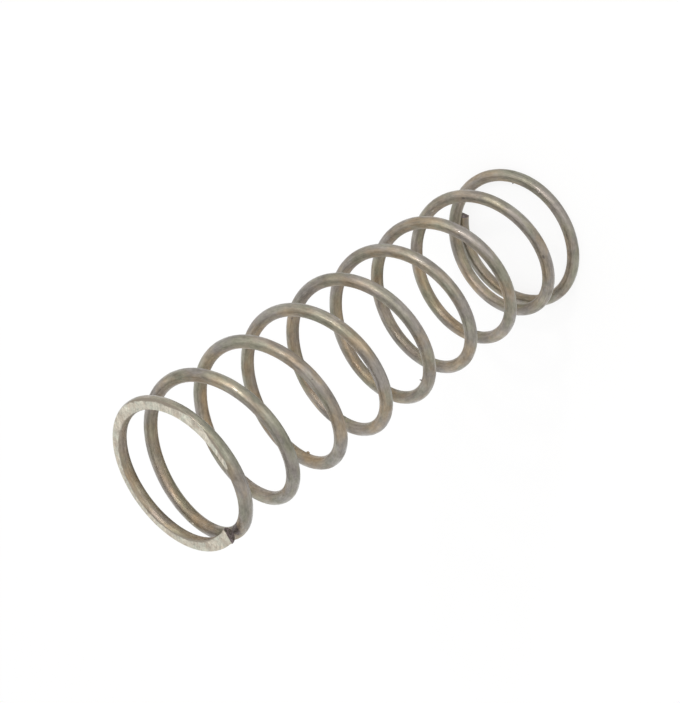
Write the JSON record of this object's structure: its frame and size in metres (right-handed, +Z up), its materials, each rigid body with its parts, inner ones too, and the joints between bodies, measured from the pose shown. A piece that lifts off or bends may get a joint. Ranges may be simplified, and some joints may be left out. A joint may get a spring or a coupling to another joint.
{
  "type": "compression spring",
  "caption": "Small compression spring of round steel wire, wound right-handed, with closed and ground ends, standing on one ground end.",
  "frame": {"origin": "on the spring's axis, in the plane of the lower ground end that it stands on", "axes": "+Z up the spring's axis, from the lower ground end to the upper one; +X through the lower tip of the wire"},
  "size_m": [0.0124, 0.0129, 0.0412],
  "materials": {
    "spring_wire": "drawn steel wire, bronze-grey from heat treatment, ends ground bright"
  },
  "bodies": {
    "root": {"spring": "spring_wire"}
  },
  "joints": []
}
